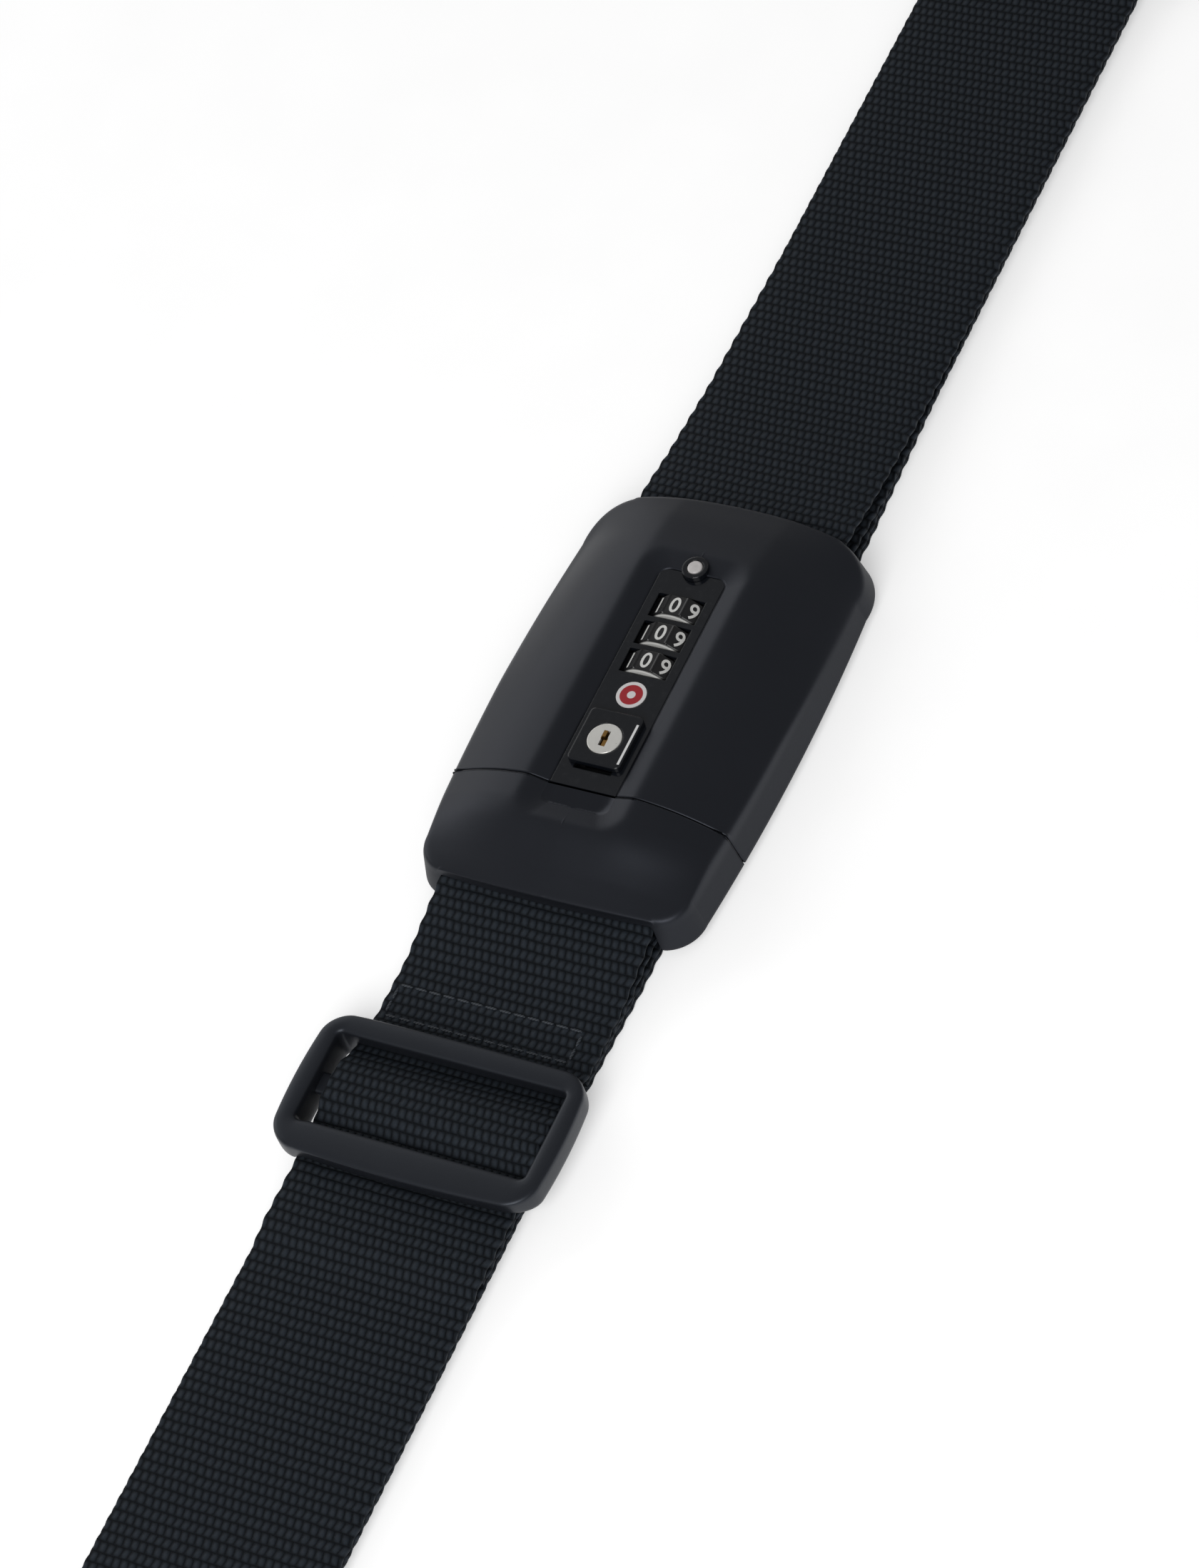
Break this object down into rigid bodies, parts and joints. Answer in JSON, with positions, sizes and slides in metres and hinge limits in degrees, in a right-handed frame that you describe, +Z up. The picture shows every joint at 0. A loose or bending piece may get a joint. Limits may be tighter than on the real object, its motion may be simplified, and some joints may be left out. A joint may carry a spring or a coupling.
{
  "type": "luggage strap",
  "caption": "Wide woven strap lying flat in a closed loop, with a combination side-sliding buckle, a key release and a three-bar adjuster",
  "frame": {"origin": "Centre of the bounding box in X and Y, at the resting surface in Z.", "axes": "+X along the strap from the tongue to the housing, +Y across the strap, +Z up out of the buckle's face."},
  "size_m": [0.519, 0.0698, 0.0184],
  "materials": {
    "webbing": "woven polyester webbing, near-black blue-grey",
    "thread": "stitching thread",
    "shell": "satin moulded black",
    "plate": "glossy black lock plate",
    "dial": "black dial with white digits",
    "button": "glossy black release button",
    "badge": "plain round inlay",
    "reset": "reset button",
    "brass": "turned brass key plug",
    "steel": "pressed steel",
    "spring": "spring wire",
    "inner": "moulded inner parts",
    "adjuster": "moulded adjuster, satin black"
  },
  "bodies": {
    "housing": {"housing_cover": "shell", "housing_base": "shell", "housing_screws": "steel", "housing_webbing_bar": "steel", "lock_plate": "plate", "round_badge": "badge", "reset_collar": "button", "reset_spring": "spring", "dial_chassis": "steel", "dial_spindle": "steel", "detent_spring": "spring", "release_spring": "spring", "latch_springs": "spring", "webbing_right": "webbing"},
    "tongue": {"tongue_cover": "shell", "tongue_base": "shell", "tongue_screws": "steel", "tongue_webbing_bar": "steel", "tongue_blade": "steel", "blade_rivets": "steel", "tri_glide_adjuster": "adjuster", "webbing_left_outer": "webbing", "webbing_left_inner": "webbing", "tongue_stitching": "thread", "adjuster_stitching": "thread"},
    "dial_1_body": {"dial_1": "dial", "clutch_sleeve_1": "inner"},
    "dial_2_body": {"dial_2": "dial", "clutch_sleeve_2": "inner"},
    "dial_3_body": {"dial_3": "dial", "clutch_sleeve_3": "inner"},
    "reset_body": {"reset_button": "reset"},
    "button_body": {"release_button": "button", "slider_carriage": "inner"},
    "key_body": {"key_plug": "brass", "key_cam": "steel"},
    "latch_body": {"latch_bolt": "steel"}
  },
  "joints": [
    {"name": "tongue_draw", "type": "slide", "parent": "housing", "child": "tongue", "axis": [-1, 0, 0], "range_m": [0, 0.03]},
    {"name": "dial_1_turn", "type": "hinge", "parent": "housing", "child": "dial_1_body", "pos_m": [0.0417, 0, 0.0112], "axis": [1, 0, 0], "continuous": true},
    {"name": "dial_2_turn", "type": "hinge", "parent": "housing", "child": "dial_2_body", "pos_m": [0.0343, 0, 0.0112], "axis": [1, 0, 0], "continuous": true},
    {"name": "dial_3_turn", "type": "hinge", "parent": "housing", "child": "dial_3_body", "pos_m": [0.0269, 0, 0.0112], "axis": [1, 0, 0], "continuous": true},
    {"name": "reset_press", "type": "slide", "parent": "housing", "child": "reset_body", "axis": [0, 0, -1], "range_m": [0, 0.001], "stiffness_N_per_m": 400, "springref_m": -0.0005, "deforming": ["reset_spring"]},
    {"name": "button_slide", "type": "slide", "parent": "housing", "child": "button_body", "axis": [1, 0, 0], "range_m": [-0.003, 0], "deforming": ["release_spring"]},
    {"name": "key_turn", "type": "hinge", "parent": "button_body", "child": "key_body", "pos_m": [0.006, 0, 0.012], "axis": [0, 0, 1], "range_deg": [0, 90]},
    {"name": "latch_drop", "type": "slide", "parent": "housing", "child": "latch_body", "axis": [0, 0, 1], "range_m": [-0.0024, 0], "deforming": ["latch_springs"]}
  ],
  "couplings": [
    {"joint": "latch_drop", "follows": "button_slide", "ratio": 0.8}
  ]
}
